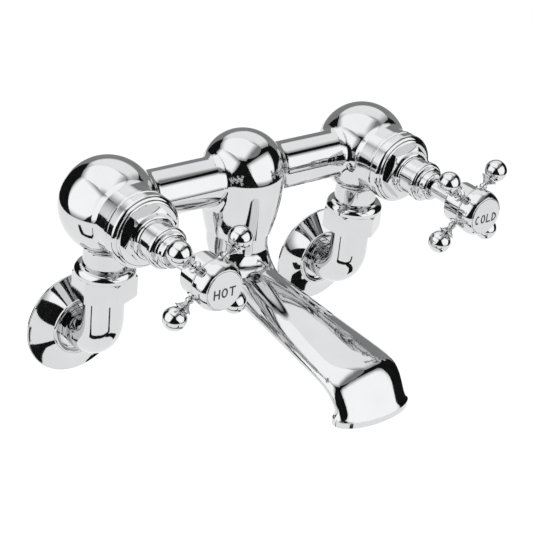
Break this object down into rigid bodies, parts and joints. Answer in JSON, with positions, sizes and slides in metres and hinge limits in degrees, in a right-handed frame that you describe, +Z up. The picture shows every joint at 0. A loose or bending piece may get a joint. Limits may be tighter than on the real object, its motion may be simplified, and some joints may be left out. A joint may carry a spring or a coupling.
{
  "type": "wall mounted bath faucet",
  "caption": "Exposed wall mounted bath filler with cross handles on screw-down valves, a broad low spout, hexagonal unions and round wall covers.",
  "frame": {"origin": "on the wall surface, midway between the two inlets", "axes": "+X to the right along the wall towards the cold side, +Y into the wall, +Z up"},
  "size_m": [0.2432, 0.1837, 0.1457],
  "materials": {
    "chrome": "polished plating on brass",
    "brass": "machined",
    "steel": "machined stainless",
    "rubber": "matte",
    "fibre": "matte",
    "black_enamel": "gloss"
  },
  "bodies": {
    "fixed": {"body_casting": "chrome", "spout": "chrome", "spout_washer": "rubber", "spout_grub_screw": "steel", "hot_collar_ring": "chrome", "hot_bonnet": "chrome", "hot_bonnet_washer": "fibre", "hot_gland_nut": "chrome", "hot_gland_packing": "fibre", "hot_union_nut": "chrome", "hot_union_washer": "fibre", "hot_elbow": "chrome", "hot_wall_flange": "chrome", "hot_flange_seal": "rubber", "cold_collar_ring": "chrome", "cold_bonnet": "chrome", "cold_bonnet_washer": "fibre", "cold_gland_nut": "chrome", "cold_gland_packing": "fibre", "cold_union_nut": "chrome", "cold_union_washer": "fibre", "cold_elbow": "chrome", "cold_wall_flange": "chrome", "cold_flange_seal": "rubber"},
    "hot_jumper": {"hot_jumper": "brass", "hot_jumper_washer": "rubber", "hot_jumper_nut": "brass"},
    "hot_handle": {"hot_spindle": "chrome", "hot_handle_hub": "chrome", "hot_arm_upper_right": "chrome", "hot_arm_upper_left": "chrome", "hot_arm_lower_left": "chrome", "hot_arm_lower_right": "chrome", "hot_index_cap": "chrome", "hot_index_disc": "chrome", "hot_index_letters": "black_enamel", "hot_handle_screw": "brass"},
    "cold_jumper": {"cold_jumper": "brass", "cold_jumper_washer": "rubber", "cold_jumper_nut": "brass"},
    "cold_handle": {"cold_spindle": "chrome", "cold_handle_hub": "chrome", "cold_arm_upper_right": "chrome", "cold_arm_upper_left": "chrome", "cold_arm_lower_left": "chrome", "cold_arm_lower_right": "chrome", "cold_index_cap": "chrome", "cold_index_disc": "chrome", "cold_index_letters": "black_enamel", "cold_handle_screw": "brass"}
  },
  "joints": [
    {"name": "hot_lift", "type": "slide", "parent": "fixed", "child": "hot_jumper", "axis": [0, -1, 0], "range_m": [0, 0.005]},
    {"name": "hot_turn", "type": "hinge", "parent": "hot_jumper", "child": "hot_handle", "pos_m": [-0.09, -0.029, 0.087], "axis": [0, -1, 0], "range_deg": [0, 720]},
    {"name": "cold_lift", "type": "slide", "parent": "fixed", "child": "cold_jumper", "axis": [0, -1, 0], "range_m": [0, 0.005]},
    {"name": "cold_turn", "type": "hinge", "parent": "cold_jumper", "child": "cold_handle", "pos_m": [0.09, -0.029, 0.087], "axis": [0, -1, 0], "range_deg": [0, 720]}
  ],
  "couplings": [
    {"joint": "hot_lift", "follows": "hot_turn", "m_per_rad": 0.00039789},
    {"joint": "cold_lift", "follows": "cold_turn", "m_per_rad": 0.00039789}
  ]
}
